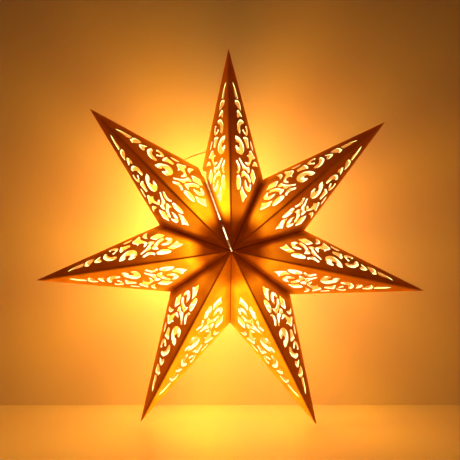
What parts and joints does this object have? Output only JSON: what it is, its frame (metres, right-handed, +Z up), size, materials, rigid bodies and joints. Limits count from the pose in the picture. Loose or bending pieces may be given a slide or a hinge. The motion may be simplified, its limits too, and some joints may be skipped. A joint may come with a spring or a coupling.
{
  "type": "paper star lantern",
  "caption": "Seven-pointed folded paper star lantern with cut-out ornament in every panel, a lamp inside and a string to hang it by.",
  "frame": {"origin": "where the hanging string bears on its hook; the star's centre is 57 mm to the right of it, 139 mm below it and 4 mm in front of it", "axes": "+X to the right seen from the front, +Y from the front to the back, +Z up with the star upright"},
  "size_m": [0.5886, 0.1792, 0.5703],
  "materials": {
    "paper": "dyed handmade paper, matte, translucent, folded and glued",
    "tab_tape": "hook-and-loop tape",
    "string": "thin twisted cotton",
    "holder_plastic": "moulded plastic",
    "contact_brass": "sprung brass",
    "bulb_glass": "frosted glass, lit"
  },
  "bodies": {
    "root": {"top_point": "paper", "upper_right_point": "paper", "right_point": "paper", "lower_right_point": "paper", "lower_left_point": "paper", "left_point": "paper", "upper_left_point": "paper", "hook_tabs": "tab_tape", "loop_tabs": "tab_tape", "hanging_string": "string", "string_knots": "string", "lamp_holder_cap": "holder_plastic", "lamp_holder_body": "holder_plastic", "lamp_contact": "contact_brass", "light_bulb": "bulb_glass"}
  },
  "joints": []
}
